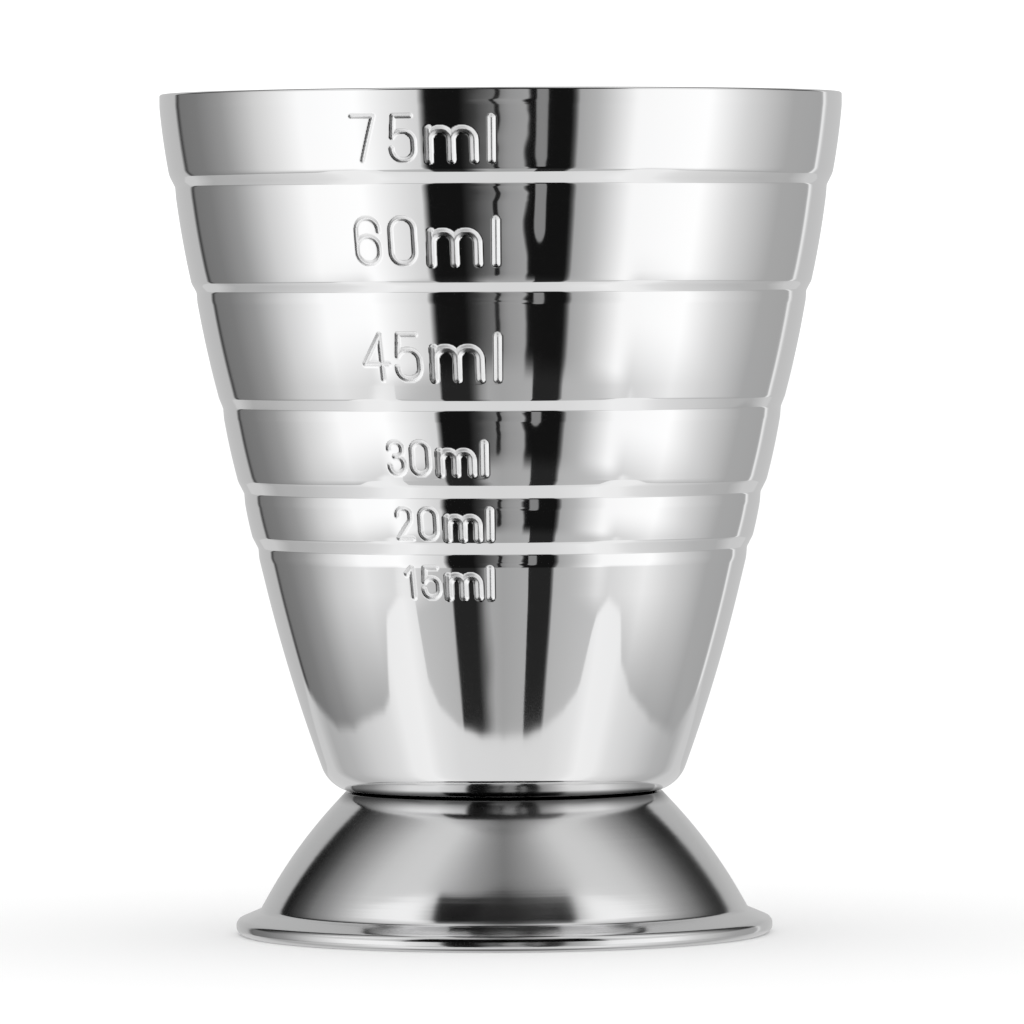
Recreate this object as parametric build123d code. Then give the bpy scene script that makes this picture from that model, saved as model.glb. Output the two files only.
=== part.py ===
from build123d import *
import math
import os

# A bar jigger: a stepped measuring cup on a short flared foot, both pressed from polished steel sheet.
# Millimetres, +Z up. The origin is the middle of the circle that the foot stands on.

# Sheet
WALL = 0.6  # thickness of the cup and of the foot

# Cup, outer face
BASE_Z = 11.15  # joint plane: the cup's underside on the foot's deck
BASE_CORNER = 13.6  # radius at which the wall would meet the base if the corner were sharp
BASE_ROUND = 3.0  # rounding of that corner
RIM_Z = 66.0
RIM_RADIUS = 26.8
LIP_HEIGHT = 1.1  # upright band at the mouth
LIP_ROUND = 5.0
RIM_EDGE_ROUND = 0.2  # rounding of the rim's two edges
BAND_BULGE = 0.009  # each band bows outwards by this part of its length
BOWL_BULGE = 0.014  # the same for the bowl under the lowest ledge

# Ledges, from the top one down: volume in ml up to the ledge, height and outer radius where its upper edge
# would be if it were sharp, how tall the ledge is, how far it steps inwards, and its upper edge's rounding
LEDGES = [
    (60, 59.65, 26.07, 0.93, 0.47, 2.0),
    (45, 51.20, 24.37, 0.72, 0.40, 1.2),
    (30, 42.20, 22.26, 0.83, 0.33, 1.0),
    (20, 35.65, 20.80, 0.97, 0.49, 1.6),
    (15, 31.25, 19.69, 0.90, 0.47, 1.2),
]
LEDGE_CREASE_ROUND = 0.5
LAND_HEIGHT = 0.8  # nearly upright strip under each ledge
LAND_STEP = 0.06  # how far it leans inwards
LAND_ROUND = 3.0
ARC_SHARE = 0.75  # part of a bowed run that is arc; the rest leaves room for the roundings at its ends

# Foot, outer face
DECK_CORNER = 12.45  # radius of the deck's edge
DECK_ROUND = 0.25
WAIST_RADIUS = 19.2  # where the skirt turns out into the brim
WAIST_Z = 1.9
WAIST_ROUND = 0.6
SKIRT_BULGE = 0.029  # the skirt bows outwards by this part of its length
BRIM_RADIUS = 21.1
BRIM_EDGE_Z = 1.1  # height at which the brim's top would meet its edge if the edge were sharp
HEM_ROUND = 0.6  # outer radius of the fold
HEM_WIDTH = 2.4  # from the edge to the inner end of the fold, which the jigger stands on

# Spot welds between the cup and the foot
WELD_COUNT = 3
WELD_CIRCLE = 6.0  # radius of the circle that the welds lie on
NUGGET_RADIUS = 1.6
NUGGET_HEIGHT = 0.5  # half in each sheet
MARK_RADIUS = 2.2  # dent that the electrode leaves on the far face of each sheet
MARK_DEPTH = 0.08

# Volume labels, stamped as round-ended grooves into the cup's outer face: text, height of its base line,
# height of its digits, and distance of the last letter to the left of the cup's front line
LABELS = [
    ("75ml", 60.50, 3.35, 0.70),
    ("60ml", 52.65, 3.45, 0.40),
    ("45ml", 43.85, 3.40, 0.30),
    ("30ml", 36.60, 2.40, 1.35),
    ("20ml", 31.60, 2.30, 0.95),
    ("15ml", 27.10, 2.25, 0.95),
]
GROOVE_WIDTH = 0.5
GROOVE_DEPTH = 0.2
LABEL_REACH = 4.0  # length of the bars that cut the labels, across the wall

# Letter shapes, in parts of the digits' height: width, gap after, and each stroke as its rounding and corners.
# A stroke that ends where it starts is a closed loop.
GLYPHS = {
    "0": (0.55, 0.38, [(0.26, (0, 0), (0.55, 0), (0.55, 1), (0, 1), (0, 0))]),
    "1": (0.20, 0.40, [(0, (0, 0.78), (0.2, 1), (0.2, 0))]),
    "2": (0.50, 0.32, [(0.2, (0, 0.76), (0, 1), (0.47, 1), (0.47, 0.6), (0.02, 0)),
                       (0, (0.02, 0), (0.5, 0))]),
    "3": (0.50, 0.28, [(0.2, (0, 0.78), (0, 1), (0.46, 1), (0.46, 0.54), (0.2, 0.54)),
                       (0.24, (0.2, 0.54), (0.5, 0.54), (0.5, 0), (0, 0), (0, 0.26))]),
    "4": (0.58, 0.22, [(0, (0.42, 1), (0, 0.34), (0.58, 0.34)), (0, (0.42, 1), (0.42, 0))]),
    "5": (0.54, 0.34, [(0, (0.47, 1), (0.06, 1), (0.02, 0.52)),
                       (0.25, (0.02, 0.52), (0.1, 0.65), (0.54, 0.65), (0.54, 0), (0, 0), (0, 0.26))]),
    "6": (0.54, 0.28, [(0.26, (0, 0), (0.54, 0), (0.54, 0.6), (0, 0.6), (0, 0)),
                       (0.26, (0, 0.3), (0, 1), (0.54, 1), (0.54, 0.72))]),
    "7": (0.54, 0.42, [(0, (0, 1), (0.54, 1), (0.23, 0))]),
    "l": (0.00, 0.00, [(0, (0, 0), (0, 0.95))]),
    "m": (1.04, 0.40, [(0, (0, 0), (0, 0.69)),
                       (0.24, (0, 0.42), (0, 0.69), (0.52, 0.69), (0.52, 0)),
                       (0.24, (0.52, 0.42), (0.52, 0.69), (1.04, 0.69), (1.04, 0))]),
}


def bowed(start, end, bulge):
    """Middle corner, and its rounding, that turn the run from start to end into an arc bowed outwards."""
    run = (end[0] - start[0], end[1] - start[1])
    rise = 2 * bulge
    corner = ((start[0] + end[0]) / 2 - rise * run[1], (start[1] + end[1]) / 2 + rise * run[0])
    return corner, ARC_SHARE / 2 * math.hypot(*run) / math.sin(math.atan(2 * rise))


def cup_outline():
    """Corners and roundings of the cup's outer face, from the rim down to the middle of the base."""
    corners = [(RIM_RADIUS, RIM_Z), (RIM_RADIUS, RIM_Z - LIP_HEIGHT)]
    roundings = [LIP_ROUND]
    for _, top_z, top_radius, height, depth, top_round in LEDGES:
        top = (top_radius, top_z)
        crease = (top_radius - depth, top_z - height)
        land = (crease[0] - LAND_STEP, crease[1] - LAND_HEIGHT)
        middle, rounding = bowed(corners[-1], top, BAND_BULGE)
        corners += [middle, top, crease, land]
        roundings += [rounding, top_round, LEDGE_CREASE_ROUND, LAND_ROUND]
    base = (BASE_CORNER, BASE_Z)
    middle, rounding = bowed(corners[-1], base, BOWL_BULGE)
    corners += [middle, base, (0, BASE_Z)]
    roundings += [rounding, BASE_ROUND]
    return corners, roundings


def foot_outline():
    """Corners and roundings of the foot's outer face, from the middle of the deck to the end of the fold."""
    deck_edge = (DECK_CORNER, BASE_Z)
    waist = (WAIST_RADIUS, WAIST_Z)
    middle, rounding = bowed(deck_edge, waist, SKIRT_BULGE)
    brim_edge = [(BRIM_RADIUS, BRIM_EDGE_Z), (BRIM_RADIUS, 0)]
    corners = [(0, BASE_Z), deck_edge, middle, waist, *brim_edge, (BRIM_RADIUS - HEM_WIDTH, 0)]
    return corners, [DECK_ROUND, rounding, WAIST_ROUND, HEM_ROUND, HEM_ROUND]


def beside(corners, roundings, distance):
    """The line that runs beside an outline, at a distance to the right of its travel."""
    headings = [math.atan2(end[1] - start[1], end[0] - start[0]) for start, end in zip(corners, corners[1:])]
    befores = [headings[0]] + headings
    afters = headings + [headings[-1]]
    half_turns = [math.remainder(after - before, math.tau) / 2 for before, after in zip(befores, afters)]
    moved = []
    for corner, before, half_turn in zip(corners, befores, half_turns):
        reach = distance / math.cos(half_turn)
        middle = before + half_turn
        moved.append((corner[0] + reach * math.sin(middle), corner[1] - reach * math.cos(middle)))
    changed = [
        max(0, rounding + math.copysign(distance, half_turn))
        for rounding, half_turn in zip(roundings, half_turns[1:-1])
    ]
    return moved, changed


def turned_sheet(corners, roundings, thickness=WALL, edge_round=0):
    """Sheet turned about Z, with its outer face on the outline and its metal to the right of the outline."""
    inner_corners, inner_roundings = beside(corners, roundings, thickness)
    with BuildPart() as sheet:
        with BuildSketch(Plane.XZ) as section:
            with BuildLine():
                outer = FilletPolyline(*corners, radius=roundings)
                inner = FilletPolyline(*inner_corners, radius=inner_roundings)
                Line(outer @ 0, inner @ 0)
                Line(outer @ 1, inner @ 1)
            make_face()
            if edge_round:
                fillet(section.vertices().group_by(Axis.Y)[-1], edge_round)
        revolve(axis=Axis.Z)
    return sheet.part


def weld_discs(radius, height, middle_z):
    """One thin disc with chamfered rims at each weld, centred on a height."""
    disc = Cylinder(radius, height)
    disc = Pos(WELD_CIRCLE, 0, middle_z) * chamfer(disc.edges().filter_by(GeomType.CIRCLE), height / 4)
    return [Rot(0, 0, 360 * index / WELD_COUNT) * disc for index in range(WELD_COUNT)]


def letter_face(strokes, height):
    """Flat face of one letter: each stroke as a band of the groove's width with round ends."""
    with BuildSketch() as letter:
        for rounding, *corners in strokes:
            points = [(x * height, y * height) for x, y in corners]
            if rounding:
                with BuildLine() as path:
                    FilletPolyline(*points, radius=rounding * height)
            else:
                with BuildLine() as path:
                    Polyline(*points)
            trace(path.line, line_width=GROOVE_WIDTH)
            with Locations(points[0], points[-1]):
                Circle(GROOVE_WIDTH / 2)
    return letter.sketch


def outer_radius(level):
    """Outer radius of the cup at a level, between its outline's corners."""
    corners, _ = cup_outline()
    for above, below in zip(corners, corners[1:]):
        if above[1] >= level >= below[1]:
            share = (above[1] - level) / (above[1] - below[1])
            return above[0] + share * (below[0] - above[0])


def label_prisms():
    """Bars through the wall with the letters' outlines, each one square to the cup's side at its place."""
    prisms = []
    for text, base_z, height, end in LABELS:
        radius = outer_radius(base_z + height / 2)
        widths = [GLYPHS[letter][0] + GLYPHS[letter][1] for letter in text]
        start = -end - sum(widths) * height
        for letter, width in zip(text, widths):
            glyph_width, _, strokes = GLYPHS[letter]
            middle = start + glyph_width * height / 2
            around = 360 * middle / (math.tau * radius)
            face = Pos(-glyph_width * height / 2, 0, 0) * letter_face(strokes, height)
            bar = extrude(face, LABEL_REACH)
            prisms.append(Rot(0, 0, around) * Pos(0, LABEL_REACH / 2 - radius, base_z) * Rot(90, 0, 0) * bar)
            start += width * height
    return prisms


def volume_up_to(cup, level):
    """Volume in ml that the cup holds up to a level."""
    filled = Pos(0, 0, BASE_Z) * Cylinder(
        RIM_RADIUS * 2, level - BASE_Z, align=(Align.CENTER, Align.CENTER, Align.MIN)
    )
    outside, inside = (filled - cup).solids().sort_by(SortBy.VOLUME)[:-3:-1]
    return inside.volume / 1000


# The nuggets lie half in each sheet, and the electrodes dent the far face of each sheet
nuggets = weld_discs(NUGGET_RADIUS, NUGGET_HEIGHT, BASE_Z)
cup = turned_sheet(*cup_outline(), edge_round=RIM_EDGE_ROUND)
cup = cup - nuggets - weld_discs(MARK_RADIUS, 2 * MARK_DEPTH, BASE_Z + WALL)
# The grooves are cut with parts of a layer that reaches as far out of the wall as into it
layer = turned_sheet(*beside(*cup_outline(), -GROOVE_DEPTH), thickness=2 * GROOVE_DEPTH)
cup = cup - [layer & prism for prism in label_prisms()]
foot = turned_sheet(*foot_outline())
foot = foot - nuggets - weld_discs(MARK_RADIUS, 2 * MARK_DEPTH, BASE_Z - WALL)

for volume, top_z, _, height, _, _ in LEDGES:
    print(f"{volume} ml line holds {volume_up_to(cup, top_z - height):.1f} ml")
print(f"75 ml line holds {volume_up_to(cup, RIM_Z):.1f} ml")

os.makedirs("parts", exist_ok=True)
export_step(cup, "parts/cup.step")
export_step(foot, "parts/foot.step")
export_step(Compound(children=nuggets), "parts/spot_welds.step")
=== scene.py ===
import math

import bpy
import numpy as np
from mathutils import Matrix


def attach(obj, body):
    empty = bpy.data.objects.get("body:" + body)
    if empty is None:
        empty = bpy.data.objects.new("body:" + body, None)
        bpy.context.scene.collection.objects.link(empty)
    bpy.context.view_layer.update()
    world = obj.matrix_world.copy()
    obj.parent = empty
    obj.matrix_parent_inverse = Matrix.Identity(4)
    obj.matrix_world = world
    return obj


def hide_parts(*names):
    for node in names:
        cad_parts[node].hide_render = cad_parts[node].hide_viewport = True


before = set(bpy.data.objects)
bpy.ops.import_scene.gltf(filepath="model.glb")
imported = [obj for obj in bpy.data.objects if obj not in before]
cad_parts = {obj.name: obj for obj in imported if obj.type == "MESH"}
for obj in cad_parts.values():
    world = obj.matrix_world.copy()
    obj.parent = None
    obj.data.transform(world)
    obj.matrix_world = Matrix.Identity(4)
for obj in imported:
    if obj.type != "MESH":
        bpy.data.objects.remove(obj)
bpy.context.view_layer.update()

# Sizes are in millimetres, as in the CAD source, and the meshes are scaled to metres when they are made.
MM = 0.001

# Sheet
WALL = 0.6  # thickness of the cup and of the foot

# Cup, outer face
BASE_Z = 11.15
BASE_CORNER = 13.6  # radius at which the wall would meet the base if the corner were sharp
BASE_ROUND = 3.0
RIM_Z = 66.0
RIM_RADIUS = 26.8
LIP_HEIGHT = 1.1
LIP_ROUND = 5.0
RIM_EDGE_ROUND = 0.2
BAND_BULGE = 0.009  # each band bows outwards by this part of its length
BOWL_BULGE = 0.014  # the same for the bowl under the lowest ledge

# Ledges, from the top one down: height and outer radius of the sharp upper edge, height, depth, and rounding
LEDGES = [
    (59.65, 26.07, 0.93, 0.47, 2.0),
    (51.20, 24.37, 0.72, 0.40, 1.2),
    (42.20, 22.26, 0.83, 0.33, 1.0),
    (35.65, 20.80, 0.97, 0.49, 1.6),
    (31.25, 19.69, 0.90, 0.47, 1.2),
]
LEDGE_CREASE_ROUND = 0.5
LAND_HEIGHT = 0.8  # nearly upright strip under each ledge
LAND_STEP = 0.06  # how far it leans inwards
LAND_ROUND = 3.0
ARC_SHARE = 0.75  # part of a bowed run that is arc

# Foot, outer face
DECK_CORNER = 12.45
DECK_ROUND = 0.25
WAIST_RADIUS = 19.2
WAIST_Z = 1.9
WAIST_ROUND = 0.6
SKIRT_BULGE = 0.029
BRIM_RADIUS = 21.1
BRIM_EDGE_Z = 1.1
HEM_ROUND = 0.6
HEM_WIDTH = 2.4
HEM_END_ROUND = 0.15

# Dents that the welding electrodes leave on the two far faces
WELD_COUNT = 3
WELD_CIRCLE = 6.0  # radius of the circle that the welds lie on
MARK_RADIUS = 2.2
MARK_EDGE = 0.25  # half the width of a dent's soft edge
MARK_DEPTH = 0.08
MARKED_RADIUS = 9.0  # all the dents are within it

# Volume labels: text, height of the base line, height of the digits, distance left of the front line
LABELS = [
    ("75ml", 60.50, 3.35, 0.70),
    ("60ml", 52.65, 3.45, 0.40),
    ("45ml", 43.85, 3.40, 0.30),
    ("30ml", 36.60, 2.40, 1.35),
    ("20ml", 31.60, 2.30, 0.95),
    ("15ml", 27.10, 2.25, 0.95),
]
DIGIT_GROOVE = (0.24, 0.08)  # half the width of a groove with its rounded shoulders, and its depth
UNIT_GROOVE = (0.35, 0.17)  # the same in the letters m and l, which are stamped harder
GROOVE_BOTTOM = 0.1  # how round the bottom of a groove is, as a part of its half width
GROOVE_POWER = 1.2  # more than 1 makes its shoulders rounder
MATT_EDGE = (0.6, 0.95)  # where the stamp's matt finish fades out, in parts of the half width
STAMPED_ROUGHNESS = 0.26  # added to the steel's own in the grooves

# Letter shapes, in parts of the digits' height: width, gap after, and each stroke as its rounding and its
# corners. A stroke that ends where it starts is a closed loop.
GLYPHS = {
    "0": (0.55, 0.38, [(0.26, (0, 0), (0.55, 0), (0.55, 1), (0, 1), (0, 0))]),
    "1": (0.20, 0.40, [(0, (0, 0.78), (0.2, 1), (0.2, 0))]),
    "2": (0.50, 0.32, [(0.2, (0, 0.76), (0, 1), (0.47, 1), (0.47, 0.6), (0.02, 0)),
                       (0, (0.02, 0), (0.5, 0))]),
    "3": (0.50, 0.28, [(0.2, (0, 0.78), (0, 1), (0.46, 1), (0.46, 0.54), (0.2, 0.54)),
                       (0.24, (0.2, 0.54), (0.5, 0.54), (0.5, 0), (0, 0), (0, 0.26))]),
    "4": (0.58, 0.22, [(0, (0.42, 1), (0, 0.34), (0.58, 0.34)), (0, (0.42, 1), (0.42, 0))]),
    "5": (0.54, 0.34, [(0, (0.47, 1), (0.06, 1), (0.02, 0.52)),
                       (0.25, (0.02, 0.52), (0.1, 0.65), (0.54, 0.65), (0.54, 0), (0, 0), (0, 0.26))]),
    "6": (0.54, 0.28, [(0.26, (0, 0), (0.54, 0), (0.54, 0.6), (0, 0.6), (0, 0)),
                       (0.26, (0, 0.3), (0, 1), (0.54, 1), (0.54, 0.72))]),
    "7": (0.54, 0.42, [(0, (0, 1), (0.54, 1), (0.23, 0))]),
    "l": (0.00, 0.00, [(0, (0, 0), (0, 0.95))]),
    "m": (1.04, 0.40, [(0, (0, 0), (0, 0.69)),
                       (0.24, (0, 0.42), (0, 0.69), (0.52, 0.69), (0.52, 0)),
                       (0.24, (0.52, 0.42), (0.52, 0.69), (1.04, 0.69), (1.04, 0))]),
}

# Slow waves that pressing and polishing leave in the sheet: height, length along the wall, their number round
# the cup, and phase along the wall
WAVES = [(0.0008, 9.0, 11, 0.4), (0.0005, 5.5, 17, 2.1), (0.0010, 14.0, 7, 4.0)]
WAVE_SHIFT = 1.7  # the phase round the cup, as a multiple of the phase along the wall
WAVE_START = (BASE_Z + 1, BASE_Z + 6)  # they grow to their full height between these levels
WAVE_END = (RIM_Z - 1, RIM_Z)  # and fade between these

# Mesh
LINE_STEP = 0.02  # spacing of the points that the mesh's rows are chosen from
LINE_TURN_STEP = math.radians(1)  # largest turn between those points
LETTER_TURN_STEP = math.radians(10)  # largest turn between the points along a letter's stroke
LABEL_MARGIN = 0.45  # finely divided metal round each label
ROW_MARGIN = 0.1  # its rows start this much before its columns
FINE_STEP = 0.09  # spacing of the mesh there
WALL_STEP = 1.2  # largest spacing elsewhere along the cup's wall
SKIRT_STEP = 0.6  # the same along the foot
BASE_STEP = 0.4  # the same where the electrodes dent the sheet
TURN_STEP = math.radians(3.5)  # largest turn between neighbouring rows
COLUMNS = 96  # round a piece, apart from the labels
AXIS_RADIUS = 0.01  # a row nearer the axis than this is a single point
TINY = 1e-9  # more than a rounding error, less than anything that matters


# Outlines, as in the CAD source ----------------------------------------------------------------------------

def bowed(start, end, bulge):
    """Middle corner, and its rounding, that turn the run from start to end into an arc bowed outwards."""
    run = (end[0] - start[0], end[1] - start[1])
    rise = 2 * bulge
    corner = ((start[0] + end[0]) / 2 - rise * run[1], (start[1] + end[1]) / 2 + rise * run[0])
    return corner, ARC_SHARE / 2 * math.hypot(*run) / math.sin(math.atan(2 * rise))


def cup_outline():
    """Corners and roundings of the cup's outer face, from the rim down to the middle of the base."""
    corners = [(RIM_RADIUS, RIM_Z), (RIM_RADIUS, RIM_Z - LIP_HEIGHT)]
    roundings = [LIP_ROUND]
    for top_z, top_radius, height, depth, top_round in LEDGES:
        top = (top_radius, top_z)
        crease = (top_radius - depth, top_z - height)
        land = (crease[0] - LAND_STEP, crease[1] - LAND_HEIGHT)
        middle, rounding = bowed(corners[-1], top, BAND_BULGE)
        corners += [middle, top, crease, land]
        roundings += [rounding, top_round, LEDGE_CREASE_ROUND, LAND_ROUND]
    base = (BASE_CORNER, BASE_Z)
    middle, rounding = bowed(corners[-1], base, BOWL_BULGE)
    corners += [middle, base, (0, BASE_Z)]
    roundings += [rounding, BASE_ROUND]
    return corners, roundings


def foot_outline():
    """Corners and roundings of the foot's outer face, from the middle of the deck to the end of the fold."""
    deck_edge = (DECK_CORNER, BASE_Z)
    waist = (WAIST_RADIUS, WAIST_Z)
    middle, rounding = bowed(deck_edge, waist, SKIRT_BULGE)
    brim_edge = [(BRIM_RADIUS, BRIM_EDGE_Z), (BRIM_RADIUS, 0)]
    corners = [(0, BASE_Z), deck_edge, middle, waist, *brim_edge, (BRIM_RADIUS - HEM_WIDTH, 0)]
    return corners, [DECK_ROUND, rounding, WAIST_ROUND, HEM_ROUND, HEM_ROUND]


def beside(corners, roundings, distance):
    """The line that runs beside an outline, at a distance to the right of its travel."""
    headings = [math.atan2(end[1] - start[1], end[0] - start[0]) for start, end in zip(corners, corners[1:])]
    befores = [headings[0]] + headings
    afters = headings + [headings[-1]]
    half_turns = [math.remainder(after - before, math.tau) / 2 for before, after in zip(befores, afters)]
    moved = []
    for corner, before, half_turn in zip(corners, befores, half_turns):
        reach = distance / math.cos(half_turn)
        middle = before + half_turn
        moved.append((corner[0] + reach * math.sin(middle), corner[1] - reach * math.cos(middle)))
    changed = [
        max(0, rounding + math.copysign(distance, half_turn))
        for rounding, half_turn in zip(roundings, half_turns[1:-1])
    ]
    return moved, changed


def around_sheet(corners, roundings, end_rounding):
    """The whole edge of a sheet's section: its inner face, the sheet's end, and back along its outer face."""
    inner_corners, inner_roundings = beside(corners, roundings, WALL)
    return (
        inner_corners[::-1] + corners,
        inner_roundings[::-1] + [end_rounding, end_rounding] + roundings,
    )


def rounded_line(corners, roundings, step, turn_step):
    """Points along a line with rounded corners, no further apart than the steps, and its heading at each."""
    corners = [np.array(corner, float) for corner in corners]
    points = [corners[0]]
    headings = []
    for before, corner, after, rounding in zip(corners, corners[1:], corners[2:], roundings):
        heading = math.atan2(*(corner - before)[::-1])
        turn = math.remainder(math.atan2(*(after - corner)[::-1]) - heading, math.tau)
        into = np.array((math.cos(heading), math.sin(heading)))
        start = corner - into * rounding * math.tan(abs(turn) / 2)
        count = max(1, math.ceil(math.dist(points[-1], start) / step))
        headings += [heading] * count
        points += [points[-1] + (start - points[-1]) * part / count for part in range(1, count + 1)]
        side = np.array((-into[1], into[0])) * math.copysign(1, turn)
        count = max(1, math.ceil(max(rounding * abs(turn) / step, abs(turn) / turn_step)))
        for part in range(1, count + 1) if rounding else []:
            angle = abs(turn) * part / count
            headings.append(heading + turn * (part - 1) / count)
            points.append(start + rounding * (into * math.sin(angle) + side * (1 - math.cos(angle))))
    heading = math.atan2(*(corners[-1] - corners[-2])[::-1])
    count = max(1, math.ceil(math.dist(points[-1], corners[-1]) / step))
    headings += [heading] * (count + 1)
    points += [points[-1] + (corners[-1] - points[-1]) * part / count for part in range(1, count + 1)]
    return np.array(points), np.unwrap(headings)


def chosen_rows(points, headings, outers, spacing_at):
    """Numbers of the points of a line that leave the wanted spacing and no large turn between the rows."""
    spacing = np.array([spacing_at(point, outer) for point, outer in zip(points[1:], outers[1:])])
    steps = np.hypot(*np.diff(points, axis=0).T) / spacing + np.abs(np.diff(headings)) / TURN_STEP
    reached = np.concatenate(([0], np.cumsum(steps)))
    wanted = np.linspace(0, reached[-1], math.ceil(reached[-1]) + 1)
    return np.unique(np.searchsorted(reached, wanted - TINY).clip(0, len(points) - 1))


# Relief ----------------------------------------------------------------------------------------------------

def letter_places():
    """Each letter: its base line and height, the wall's radius, the angle of its middle, and its label."""
    corners, _ = cup_outline()
    levels = [corner[1] for corner in corners[::-1]]
    radii = [corner[0] for corner in corners[::-1]]
    places = []
    for number, (text, base_z, height, end) in enumerate(LABELS):
        radius = np.interp(base_z + height / 2, levels, radii)
        widths = [GLYPHS[letter][0] + GLYPHS[letter][1] for letter in text]
        start = -end - sum(widths) * height
        for letter, width in zip(text, widths):
            middle = start + GLYPHS[letter][0] * height / 2
            places.append((letter, base_z, height, radius, middle / radius, number))
            start += width * height
    return places


PLACES = letter_places()


def stroke_distance(x, y, strokes, height):
    """Distance from each point of a letter's plane to the middle of its nearest stroke."""
    nearest = np.full(x.shape, np.inf)
    for rounding, *corners in strokes:
        if corners[0] == corners[-1]:
            # A loop is drawn from the middle of its first side, so that its first corner is rounded too
            middle = tuple((start + end) / 2 for start, end in zip(corners[0], corners[1]))
            corners = [middle, *corners[1:], middle]
        line, _ = rounded_line(corners, [rounding] * (len(corners) - 2), math.inf, LETTER_TURN_STEP)
        line = line * height
        for start, end in zip(line, line[1:]):
            run = end - start
            share = (((x - start[0]) * run[0] + (y - start[1]) * run[1]) / (run @ run)).clip(0, 1)
            across = np.hypot(x - start[0] - share * run[0], y - start[1] - share * run[1])
            nearest = np.minimum(nearest, across)
    return nearest


def smooth_step(value, low, high):
    """0 below a range, 1 above it and smooth in between."""
    share = ((value - low) / (high - low)).clip(0, 1)
    return share * share * (3 - 2 * share)


def dents(angle, radius):
    """The electrodes' dents in a flat face."""
    relief = np.zeros(angle.shape)
    for index in range(WELD_COUNT):
        middle = math.pi / 2 + math.tau * index / WELD_COUNT
        away = np.sqrt(radius**2 + WELD_CIRCLE**2 - 2 * radius * WELD_CIRCLE * np.cos(angle - middle))
        relief -= MARK_DEPTH * (1 - smooth_step(away, MARK_RADIUS - MARK_EDGE, MARK_RADIUS + MARK_EDGE))
    return relief


def grooves(angle, radius, z, outer):
    """Depth of the labels' grooves, and how much of the stamp's matt finish they carry, from 0 to 1."""
    depths = np.zeros(angle.shape)
    matt = np.zeros(angle.shape)
    for letter, base_z, height, _, middle, _ in PLACES:
        width, _, strokes = GLYPHS[letter]
        x = radius * np.sin(angle - middle) + width * height / 2
        y = z - base_z
        reach, depth = DIGIT_GROOVE if letter.isdigit() else UNIT_GROOVE
        near = outer & (np.cos(angle - middle) > 0) & (y > -reach) & (y < height + reach)
        near &= (x > -reach) & (x < width * height + reach)
        share = stroke_distance(x[near], y[near], strokes, height) / reach
        left = 1 - np.hypot(share, GROOVE_BOTTOM).clip(0, 1)
        depths[near] = np.maximum(depths[near], depth * left**GROOVE_POWER)
        matt[near] = np.maximum(matt[near], 1 - smooth_step(share, *MATT_EDGE))
    return depths, matt


def cup_relief(angle, radius, z, outer):
    """How far the cup's faces stand out from the outline: waves, the labels' grooves, and dents."""
    relief = np.zeros(angle.shape)
    for size, length, count, phase in WAVES:
        relief += size * np.sin(math.tau * z / length + phase) * np.cos(count * angle + WAVE_SHIFT * phase)
    relief *= outer * smooth_step(z, *WAVE_START) * (1 - smooth_step(z, *WAVE_END))
    relief -= grooves(angle, radius, z, outer)[0]
    base = ~outer & (radius < MARKED_RADIUS) & (z < BASE_Z + 1)
    relief[base] = dents(angle[base], radius[base])
    return relief


def foot_relief(angle, radius, z, outer):
    """The dents under the foot's deck."""
    relief = np.zeros(angle.shape)
    deck = (radius < MARKED_RADIUS) & (z < BASE_Z - WALL / 2)
    relief[deck] = dents(angle[deck], radius[deck])
    return relief


# Meshes ----------------------------------------------------------------------------------------------------

def label_windows():
    """Lowest and highest z, and first and last angle, of the finely divided metal round each label."""
    windows = []
    for number, (_, base_z, height, _) in enumerate(LABELS):
        places = [place for place in PLACES if place[-1] == number]
        first_letter, _, _, radius, first_middle, _ = places[0]
        last_middle = places[-1][4]
        first = first_middle - (GLYPHS[first_letter][0] * height / 2 + LABEL_MARGIN) / radius
        last = last_middle + LABEL_MARGIN / radius
        windows.append((base_z - LABEL_MARGIN, base_z + height + LABEL_MARGIN, first, last))
    return windows


WINDOWS = label_windows()


def columns_at(point, outer):
    """Angles of the mesh's columns in the row through a point of the section."""
    coarse = np.linspace(-math.pi, math.pi, COLUMNS, endpoint=False)
    for low, high, first, last in WINDOWS if outer else []:
        if low <= point[1] <= high:
            fine = np.linspace(first, last, math.ceil((last - first) * point[0] / FINE_STEP) + 1)
            clear = math.pi / COLUMNS
            outside = (coarse < first - clear) | (coarse > last + clear)
            return np.sort(np.concatenate((coarse[outside], fine)))
    return coarse


def stitched(first, first_angles, second, second_angles):
    """Faces between two rows that start at the given vertices. Rows with other columns meet in triangles."""
    if len(first_angles) == len(second_angles):
        ring = np.arange(len(first_angles))
        after = np.roll(ring, -1)
        return np.stack((first + ring, second + ring, second + after, first + after), axis=1).tolist()
    faces = []
    i = j = 0
    while i < len(first_angles) or j < len(second_angles):
        upper = first_angles[i + 1] if i + 1 < len(first_angles) else math.pi
        lower = second_angles[j + 1] if j + 1 < len(second_angles) else math.pi
        here = (first + i % len(first_angles), second + j % len(second_angles))
        if j >= len(second_angles) or (i < len(first_angles) and upper < lower):
            i += 1
            faces.append((*here, first + i % len(first_angles)))
        else:
            j += 1
            faces.append((*here, second + j % len(second_angles)))
    return faces


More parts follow.
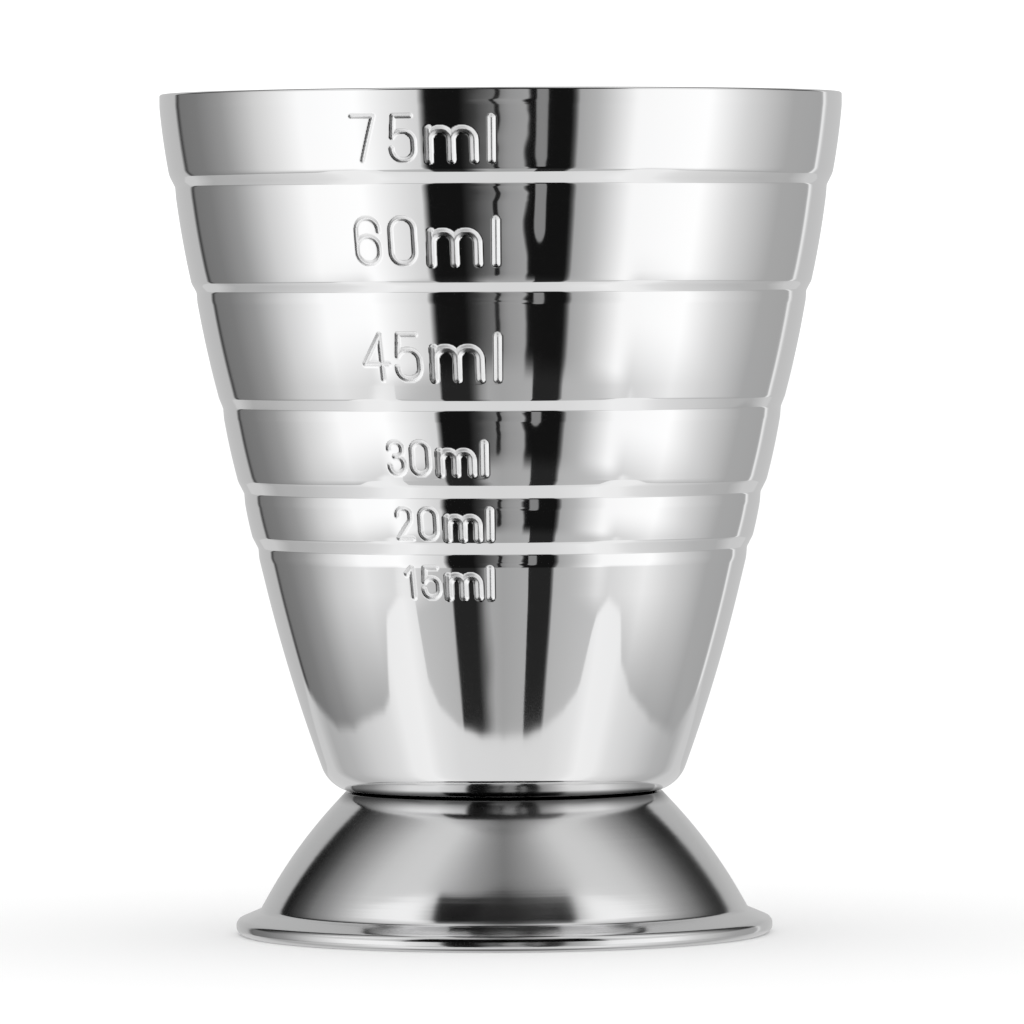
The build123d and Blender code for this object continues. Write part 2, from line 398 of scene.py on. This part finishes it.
def turned_mesh(name, corners, roundings, spacing_at, outer_at, relief):
    """A sheet turned about Z, with relief and normals to suit. Material 0 is on its outer face, 1 inside."""
    points, headings = rounded_line(corners, roundings, LINE_STEP, LINE_TURN_STEP)
    outers = np.array([outer_at(point, heading) for point, heading in zip(points, headings)])
    rows = chosen_rows(points, headings, outers, spacing_at)
    points, headings, outers = points[rows], headings[rows], outers[rows]
    columns = [
        columns_at(point, outer) if point[0] > AXIS_RADIUS else np.zeros(1)
        for point, outer in zip(points, outers)
    ]
    counts = [len(angles) for angles in columns]
    starts = np.concatenate(([0], np.cumsum(counts)[:-1])).tolist()

    angle = np.concatenate(columns)
    radius, z, heading, outer = (np.repeat(part, counts) for part in (*points.T, headings, outers))
    outwards = np.stack((np.sin(angle), -np.cos(angle), np.zeros(angle.shape)), axis=1)
    around = np.stack((np.cos(angle), np.sin(angle), np.zeros(angle.shape)), axis=1)
    along = np.cos(heading)[:, None] * outwards + np.sin(heading)[:, None] * (0, 0, 1)
    out = np.cross(along, around)
    place = radius[:, None] * outwards + z[:, None] * (0, 0, 1)

    small = FINE_STEP / 2  # slopes are taken over the width of a cell, so that narrow grooves stay even
    turn = small / np.maximum(radius, BASE_STEP / 2)
    slope_around = relief(angle + turn, radius, z, outer) - relief(angle - turn, radius, z, outer)
    ahead = (radius + small * np.cos(heading), z + small * np.sin(heading))
    behind = (radius - small * np.cos(heading), z - small * np.sin(heading))
    slope_along = relief(angle, *ahead, outer) - relief(angle, *behind, outer)
    normals = out - (slope_around[:, None] * around + slope_along[:, None] * along) / (2 * small)
    place += relief(angle, radius, z, outer)[:, None] * out

    faces, sides = [], []
    for row in range(len(points) - 1):
        new = stitched(starts[row], columns[row], starts[row + 1], columns[row + 1])
        new = [face for face in new if len(set(face)) == len(face)]
        faces += new
        sides += [0 if outers[row] else 1] * len(new)
    mesh = bpy.data.meshes.new(name)
    mesh.from_pydata((place * MM).tolist(), [], faces)
    mesh.polygons.foreach_set("material_index", sides)
    mesh.shade_smooth()
    mesh.normals_split_custom_set_from_vertices((normals / np.linalg.norm(normals, axis=1)[:, None]).tolist())
    stamped = mesh.attributes.new("stamped", "FLOAT", "POINT")
    stamped.data.foreach_set("value", grooves(angle, radius, z, outer)[1])
    piece = bpy.data.objects.new(name, mesh)
    bpy.context.scene.collection.objects.link(piece)
    print(name, "has", sum(len(face) - 2 for face in faces), "triangles")
    return piece


def cup_spacing(point, outer):
    """Wanted spacing of the cup's rows at a point of its section."""
    if outer and any(low - ROW_MARGIN <= point[1] <= high + ROW_MARGIN for low, high, _, _ in WINDOWS):
        return FINE_STEP
    return BASE_STEP if point[1] < BASE_Z + 1 and point[0] < MARKED_RADIUS else WALL_STEP


def make_cup():
    """The stepped cup, with grooves for its labels."""
    corners, roundings = around_sheet(*cup_outline(), RIM_EDGE_ROUND)
    return turned_mesh(
        "cup_polished", corners, roundings, cup_spacing,
        lambda point, heading: math.cos(heading) < -TINY or math.sin(heading) < 0,
        cup_relief,
    )


def make_foot():
    """The flared foot with its folded edge."""
    corners, roundings = foot_outline()
    inner_corners, inner_roundings = beside(corners, roundings, WALL)
    return turned_mesh(
        "foot_satin", corners + inner_corners[::-1],
        roundings + [HEM_END_ROUND, HEM_END_ROUND] + inner_roundings[::-1],
        lambda point, outer: BASE_STEP if point[1] > BASE_Z - 1 else SKIRT_STEP,
        lambda point, heading: False,  # it is the same steel on both faces
        foot_relief,
    )


# Materials -------------------------------------------------------------------------------------------------

LINE_STRETCH = 0.02  # how much the polishing lines change along X, beside one along Z and the radius
LINE_DETAIL = 4
CLOUD_SCALE = 90
CLOUD_DETAIL = 3
CLOUD_RANGE = (0.35, 0.65)  # the roughness changes between these values of the clouds
COOL = (0.985, 0.99, 1)  # the steel's tints, as parts of its grey, which the clouds mix
WARM = (1.01, 1.005, 1)
# Painted shade: the foot's colour is darkened beside its joint with the cup, standing in for the shade in
# that crevice.
JOINT_PAINTED_SHADE = (BASE_Z - 0.9, BASE_Z)  # the foot is darker beside its joint with the cup, between these levels


def calculated(tree, operation, *values):
    """Output of a Math node with those inputs, each a number or another node's output."""
    node = tree.nodes.new("ShaderNodeMath")
    node.operation = operation
    for socket, value in zip(node.inputs, values):
        if isinstance(value, (int, float)):
            socket.default_value = value
        else:
            tree.links.new(value, socket)
    return node.outputs[0]


def between(tree, value, low, high, from_value, to_value):
    """A value carried from one range to another, smoothly and without leaving it."""
    node = tree.nodes.new("ShaderNodeMapRange")
    node.interpolation_type = "SMOOTHSTEP"
    tree.links.new(value, node.inputs["Value"])
    for name, number in zip(("From Min", "From Max", "To Min", "To Max"), (low, high, from_value, to_value)):
        node.inputs[name].default_value = number
    return node.outputs["Result"]


def diagonal(tree, first, second):
    """Length of the diagonal over two lengths at right angles."""
    squares = [calculated(tree, "MULTIPLY", side, side) for side in (first, second)]
    return calculated(tree, "SQRT", calculated(tree, "ADD", *squares))


def noise(tree, coordinates, scale, detail):
    """Noise texture over the given coordinates."""
    node = tree.nodes.new("ShaderNodeTexNoise")
    tree.links.new(coordinates, node.inputs["Vector"])
    node.inputs["Scale"].default_value = scale
    node.inputs["Detail"].default_value = detail
    return node.outputs["Fac"]


def steel(name, grey, roughness, spread, line_depth, line_scale, joint_painted_shade=1):
    """Stainless steel with fine turned polishing lines, and roughness and colour that vary a little.

    The joint grey is painted shade: it darkens the steel's colour beside the joint between the cup and the
    foot, where the crevice lies in shade.
    """
    material = bpy.data.materials.new(name)
    material.use_nodes = True
    tree = material.node_tree
    shader = tree.nodes["Principled BSDF"]
    shader.inputs["Metallic"].default_value = 1
    place = tree.nodes.new("ShaderNodeTexCoord").outputs["Object"]
    split = tree.nodes.new("ShaderNodeSeparateXYZ")
    tree.links.new(place, split.inputs[0])
    x, y, z = split.outputs
    turned = tree.nodes.new("ShaderNodeCombineXYZ")
    tree.links.new(calculated(tree, "MULTIPLY", x, LINE_STRETCH), turned.inputs[0])
    tree.links.new(diagonal(tree, x, y), turned.inputs[1])
    tree.links.new(z, turned.inputs[2])
    lines = noise(tree, turned.outputs[0], line_scale, LINE_DETAIL)
    clouds = noise(tree, place, CLOUD_SCALE, CLOUD_DETAIL)
    worn = between(tree, clouds, *CLOUD_RANGE, roughness - spread, roughness + spread)
    stamped = tree.nodes.new("ShaderNodeAttribute")
    stamped.attribute_name = "stamped"
    matt = calculated(tree, "MULTIPLY", stamped.outputs["Fac"], STAMPED_ROUGHNESS)
    tree.links.new(calculated(tree, "ADD", worn, matt), shader.inputs["Roughness"])
    tint = tree.nodes.new("ShaderNodeMix")
    tint.data_type = "RGBA"
    tree.links.new(clouds, tint.inputs["Factor"])
    for socket, parts in (("A", COOL), ("B", WARM)):
        tint.inputs[socket].default_value = (*(grey * part for part in parts), 1)
    shade = tree.nodes.new("ShaderNodeVectorMath")
    shade.operation = "SCALE"
    tree.links.new(tint.outputs["Result"], shade.inputs[0])
    # Painted shade: the colour grows darker towards the joint between the cup and the foot.
    low, high = JOINT_PAINTED_SHADE
    tree.links.new(between(tree, z, low * MM, high * MM, 1, joint_painted_shade), shade.inputs["Scale"])
    tree.links.new(shade.outputs[0], shader.inputs["Base Color"])
    bump = tree.nodes.new("ShaderNodeBump")
    bump.inputs["Strength"].default_value = 1
    bump.inputs["Distance"].default_value = line_depth * MM
    tree.links.new(lines, bump.inputs["Height"])
    tree.links.new(bump.outputs[0], shader.inputs["Normal"])
    return material


# Studio ----------------------------------------------------------------------------------------------------

# The studio by direction, as shown greys from 0 to 1. Angles are in degrees: azimuth from the front (-Y)
# towards the right, and elevation from the horizon. "Aside" is the azimuth to either side. The stops follow
# the photo: its greys, and the directions that the metal mirrors where they change, then adjusted.
SURROUNDINGS = [  # soft boxes and dark screens round the cup: azimuth, grey
    (-180, 0.72), (-143, 0.70), (-141, 0.22), (-138, 0.44), (-125, 0.47), (-109, 0.58), (-92, 0.80),
    (-72, 0.98), (-50, 1.0), (-42, 0.93), (-30, 0.83), (-27, 0.82), (-26.4, 0.10), (-14, 0.10), (-8, 0.33),
    (-2, 0.45), (2, 0.56), (9.2, 0.61), (9.9, 0.10), (25, 0.10), (25.8, 0.62), (33, 0.70), (40, 0.84),
    (47, 0.97), (75, 1.0), (92, 0.83), (117, 0.64), (139, 0.62), (141, 0.95), (144, 0.72), (180, 0.72),
]
SCREEN_ENDS = [  # how far down the screens reach before the white table shows: azimuth, elevation
    (-180, -10), (-144, -13), (-135, -16.5), (-120, -21.7), (-105, -25.8), (-90, -28.8), (-78, -30.8),
    (-72, -31), (-68, -29), (-64, -26.8), (-55, -26.3), (-46, -27), (-45, -33.5), (-40, -36), (-29, -38.5),
    (-15, -40), (0, -40.5), (15, -40), (28, -38.5), (38, -36.5), (46, -34), (50, -28.5), (56, -26.5),
    (64, -26.5), (70, -29), (80, -29.3), (89, -28.3), (101, -26.4), (113, -23.7), (126, -20.4), (144, -13),
    (180, -10),
]
DEEPEST_END = -60  # a ramp keeps values between 0 and 1, so it holds them in parts of this
TABLE = [  # aside, grey
    (0, 0.83), (30, 0.84), (45, 0.88), (53, 0.93), (66, 0.92), (75, 0.86), (95, 0.79), (115, 0.69),
    (130, 0.66), (142, 0.76), (180, 0.76),
]
OVERHEAD = [  # aside, grey
    (0, 0.48), (25, 0.61), (45, 0.75), (60, 0.84), (75, 0.84), (90, 0.80), (100, 0.70), (110, 0.57),
    (118, 0.46), (124, 0.32), (130, 0.23), (136, 0.13), (140, 0.12), (142, 0.70), (180, 0.70),
]
DARK = 0.08

# Where one thing changes into another: elevations, or azimuths to either side
HORIZON = (9, 15)  # the screens end and the ceiling starts
SCREEN_FADE = (-40, -18)  # the screens at the sides grow darker downwards
TABLE_FADE = (-80, -58)  # the table grows darker under the jigger
MIST_TOP = (-29, -25)  # the middle grows misty downwards
MIDDLE_SIDES = (48, 56)  # the middle changes into the sides
WAVY_SIDES = (8, 13)  # the waviness of the middle fades

SCREEN_FOOT = 0.50  # how dark the screens at the sides are at their lower end, as a part of their grey
TABLE_FOOT = 0.55  # the same of the table under the jigger
MIST = (1.6, 0.62, 0.0025)  # gain of the grey, its ceiling, and the ceiling's rise per degree aside
STRIP_FOOT = (10.5, 2.5)  # low in the middle, where the pale strip is wider: azimuth and half width
WAVES_PER_DEGREE = (0.02, 0.11)  # how fast the waviness changes with azimuth and elevation
WAVY_REACH = 9  # how far it shifts the azimuth
PALE_BAR = (14, 2.4, -18)  # in the right-hand dark screen: azimuth, half width and lower end
PALE_BAR_GREY = 0.5
DARK_BAR = (-2, 1.2, -25)  # in the middle
DARK_BAR_SHARE = 0.85  # how much it covers
BAR_EDGE = 0.7  # how soft the edges of both are
EDGE = 0.4  # how soft the other edges under the horizon are
# Soft patches high up: aside and its reach, elevation and its reach, and the patches' fall per degree aside
SPOTS = (74, 50, 42, 9, 0.42)
SPOT_EDGE = (0.3, 1.2)  # they fade between these parts of their reach
FRONT = (45, 59.5, 0.105)  # dark screen over the front: half width, upper end, and its fall per degree aside
FRONT_EDGES = (2, 1)  # how soft its edges are, aside and upwards

SHOWN_POWER = 2.2  # from a shown grey to its brightness
MIRRORED_GAIN = 1.25  # brightness of a white soft box in the metal
ROOM_LIGHT = 1.2  # brightness of the white room, which lights the floor and is seen behind the jigger


class Studio:
    """Math nodes of the world, with shorthands for the few that it needs."""

    def __init__(self, tree):
        self.tree = tree
        direction = tree.nodes.new("ShaderNodeTexCoord").outputs["Generated"]
        split = tree.nodes.new("ShaderNodeSeparateXYZ")
        tree.links.new(direction, split.inputs[0])
        x, y, z = split.outputs
        self.azimuth = self.math("DEGREES", self.math("ARCTAN2", x, self.math("MULTIPLY", y, -1)))
        self.elevation = self.math("DEGREES", self.math("ARCSINE", z))
        self.aside = self.math("ABSOLUTE", self.azimuth)

    def math(self, operation, *values):
        return calculated(self.tree, operation, *values)

    def step(self, value, low, high, from_value=0, to_value=1):
        return between(self.tree, value, low, high, from_value, to_value)

    def blend(self, first, second, share):
        return self.math("ADD", first, self.math("MULTIPLY", self.math("SUBTRACT", second, first), share))

    def away(self, value, middle):
        return self.math("ABSOLUTE", self.math("SUBTRACT", value, middle))

    def ramp(self, angle, lowest, stops, scale=1):
        """Value at an angle, from stops up to 180 degrees. The ramp holds the values in parts of a scale."""
        node = self.tree.nodes.new("ShaderNodeValToRGB")
        share = self.math("DIVIDE", self.math("SUBTRACT", angle, lowest), 180 - lowest)
        self.tree.links.new(share, node.inputs[0])
        elements = node.color_ramp.elements
        for index, (stop_angle, value) in enumerate(stops):
            stop = elements[index] if index < 2 else elements.new(1)
            stop.position = (stop_angle - lowest) / (180 - lowest)
            stop.color = (value / scale, value / scale, value / scale, 1)
        return self.math("MULTIPLY", node.outputs[0], scale)

    def bar(self, azimuth, middle, half_width, low):
        """1 inside an upright bar with a round lower end."""
        below = self.math("MAXIMUM", self.math("SUBTRACT", low, self.elevation), 0)
        distance = diagonal(self.tree, self.away(azimuth, middle), below)
        return self.step(distance, half_width - BAR_EDGE, half_width, 1, 0)

    def surroundings(self):
        """Grey round the cup, with a little waviness in the middle, where the two thin bars are."""
        place = self.tree.nodes.new("ShaderNodeCombineXYZ")
        for angle, pace, socket in zip((self.azimuth, self.elevation), WAVES_PER_DEGREE, place.inputs):
            self.tree.links.new(self.math("MULTIPLY", angle, pace), socket)
        waves = self.math("SUBTRACT", noise(self.tree, place.outputs[0], scale=1, detail=2), 0.5)
        near = self.step(self.aside, *WAVY_SIDES, WAVY_REACH, 0)
        wavy = self.math("ADD", self.azimuth, self.math("MULTIPLY", waves, near))
        pale = self.math("MULTIPLY", self.bar(wavy, *PALE_BAR), PALE_BAR_GREY)
        grey = self.math("MAXIMUM", self.ramp(wavy, -180, SURROUNDINGS), pale)
        return self.blend(grey, DARK, self.math("MULTIPLY", self.bar(wavy, *DARK_BAR), DARK_BAR_SHARE))

    def screens(self):
        """Grey of the screens round the cup, which change towards their lower ends."""
        grey = self.surroundings()
        sides = self.math("MULTIPLY", grey, self.step(self.elevation, *SCREEN_FADE, SCREEN_FOOT, 1))
        gain, ceiling, rise = MIST
        ceiling = self.math("ADD", self.math("MULTIPLY", self.aside, rise), ceiling)
        middle, half_width = STRIP_FOOT
        wider = self.step(self.away(self.azimuth, middle), half_width - EDGE, half_width, 1, 0)
        misty = self.math("MULTIPLY", self.math("MAXIMUM", grey, wider), gain)
        misty = self.math("MINIMUM", misty, ceiling)
        misty = self.blend(grey, misty, self.step(self.elevation, *MIST_TOP, 1, 0))
        return self.blend(misty, sides, self.step(self.aside, *MIDDLE_SIDES))

    def under(self):
        """Grey under the horizon: the screens, and the table under them, which fades under the jigger."""
        fade = self.step(self.elevation, *TABLE_FADE, TABLE_FOOT, 1)
        table = self.math("MULTIPLY", self.ramp(self.aside, 0, TABLE), fade)
        ends = self.ramp(self.azimuth, -180, SCREEN_ENDS, DEEPEST_END)
        inside = self.step(self.math("SUBTRACT", self.elevation, ends), -EDGE, EDGE)
        return self.blend(table, self.screens(), inside)

    def spots(self):
        """1 in the soft patches on both sides, which reach lower towards the back."""
        middle, reach, elevation, height, fall = SPOTS
        level = self.math("ADD", self.elevation, self.math("MULTIPLY", self.aside, fall))
        aside = self.math("DIVIDE", self.away(self.aside, middle), reach)
        higher = self.math("DIVIDE", self.away(level, elevation + fall * middle), height)
        return self.step(diagonal(self.tree, aside, higher), *SPOT_EDGE, 1, 0)

    def front(self):
        """1 in the dark screen over the front."""
        half_width, end, fall = FRONT
        edge_aside, edge_up = FRONT_EDGES
        level = self.math("ADD", self.elevation, self.math("MULTIPLY", self.aside, fall))
        within = self.step(self.aside, half_width - edge_aside, half_width + edge_aside, 1, 0)
        return self.math("MULTIPLY", within, self.step(level, end - edge_up, end + edge_up, 1, 0))

    def over(self):
        """Grey over the horizon: the ceiling, with a dark front and two soft patches."""
        grey = self.math("MAXIMUM", self.ramp(self.aside, 0, OVERHEAD), self.spots())
        return self.blend(grey, DARK, self.front())

    def grey(self):
        """The whole studio."""
        return self.blend(self.under(), self.over(), self.step(self.elevation, *HORIZON))


def make_world():
    """A white room: the floor and the background get plain white, and the metal mirrors the studio."""
    world = bpy.data.worlds.new("studio")
    bpy.context.scene.world = world
    world.use_nodes = True
    tree = world.node_tree
    studio = Studio(tree)
    mirrored = studio.math("MULTIPLY", studio.math("POWER", studio.grey(), SHOWN_POWER), MIRRORED_GAIN)
    path = tree.nodes.new("ShaderNodeLightPath")
    strength = studio.blend(ROOM_LIGHT, mirrored, path.outputs["Is Glossy Ray"])
    tree.links.new(strength, tree.nodes["Background"].inputs["Strength"])
    tree.nodes["Background"].inputs["Color"].default_value = (1, 1, 1, 1)
    world.cycles.sampling_method = "NONE"  # rough metal then mirrors the studio too, not the white room


# Floor -----------------------------------------------------------------------------------------------------

FLOOR_RADIUS = 4000.0
FLOOR_GREY = 0.9
FLOOR_GAP = 0.01  # keeps the floor's face apart from the foot's


def make_floor():
    """A wide pale floor that the metal doesn't mirror."""
    bpy.ops.mesh.primitive_circle_add(vertices=64, radius=FLOOR_RADIUS * MM, fill_type="NGON")
    floor = bpy.context.object
    floor.name = "floor"
    floor.location.z = -FLOOR_GAP * MM
    material = bpy.data.materials.new("paper")
    material.use_nodes = True
    shader = material.node_tree.nodes["Principled BSDF"]
    shader.inputs["Base Color"].default_value = (FLOOR_GREY, FLOOR_GREY, FLOOR_GREY, 1)
    shader.inputs["Roughness"].default_value = 1
    shader.inputs["Specular IOR Level"].default_value = 0
    floor.data.materials.append(material)
    floor.visible_glossy = False


# Camera ----------------------------------------------------------------------------------------------------

# It stands in front of the jigger, lower than the rim, and looks slightly down. Its turns are in degrees.
CAMERA_DISTANCE = 700.0
CAMERA_HEIGHT = 52.7
CAMERA_DOWN = 1.604
CAMERA_RIGHT = 0.061
CAMERA_ROLL = 0.27
LENS = 313.0
SENSOR = 36.0
CAMERA_RANGE = (0.05, 20)  # nearest and furthest distance that it sees, in metres


def make_camera():
    """A camera with a long lens, at the viewing angle that the jigger is shown from."""
    camera = bpy.data.objects.new("camera", bpy.data.cameras.new("camera"))
    bpy.context.scene.collection.objects.link(camera)
    camera.data.lens = LENS
    camera.data.sensor_width = SENSOR
    camera.data.clip_start, camera.data.clip_end = CAMERA_RANGE
    turn = (
        Matrix.Rotation(math.radians(-CAMERA_RIGHT), 4, "Z")
        @ Matrix.Rotation(math.radians(90 - CAMERA_DOWN), 4, "X")
        @ Matrix.Rotation(math.radians(-CAMERA_ROLL), 4, "Z")
    )
    camera.matrix_world = Matrix.Translation((0, -CAMERA_DISTANCE * MM, CAMERA_HEIGHT * MM)) @ turn
    bpy.context.scene.camera = camera


# The scene -------------------------------------------------------------------------------------------------

make_camera()
make_world()
make_floor()
bpy.context.scene.view_settings.view_transform = "Standard"

polished = steel(
    "polished_steel", grey=0.80, roughness=0.045, spread=0.015, line_depth=0.0002, line_scale=2600,
)
inside_steel = steel(
    "inside_steel", grey=0.78, roughness=0.11, spread=0.03, line_depth=0.0015, line_scale=2200,
)
# The foot's steel carries painted shade beside its joint with the cup.
satin = steel(
    "turned_steel", grey=0.70, roughness=0.13, spread=0.03, line_depth=0.0030, line_scale=1800,
    joint_painted_shade=0.15,
)

cup = make_cup()
cup.data.materials.append(polished)
cup.data.materials.append(inside_steel)
foot = make_foot()
foot.data.materials.append(satin)
foot.data.materials.append(satin)

for piece, node, slot in ((cup, "cup", "cup_steel"), (foot, "foot", "foot_steel")):
    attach(piece, "root")
    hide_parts(node)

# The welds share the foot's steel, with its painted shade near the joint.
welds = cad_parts["spot_welds"]
welds.data.materials.clear()
welds.data.materials.append(satin)
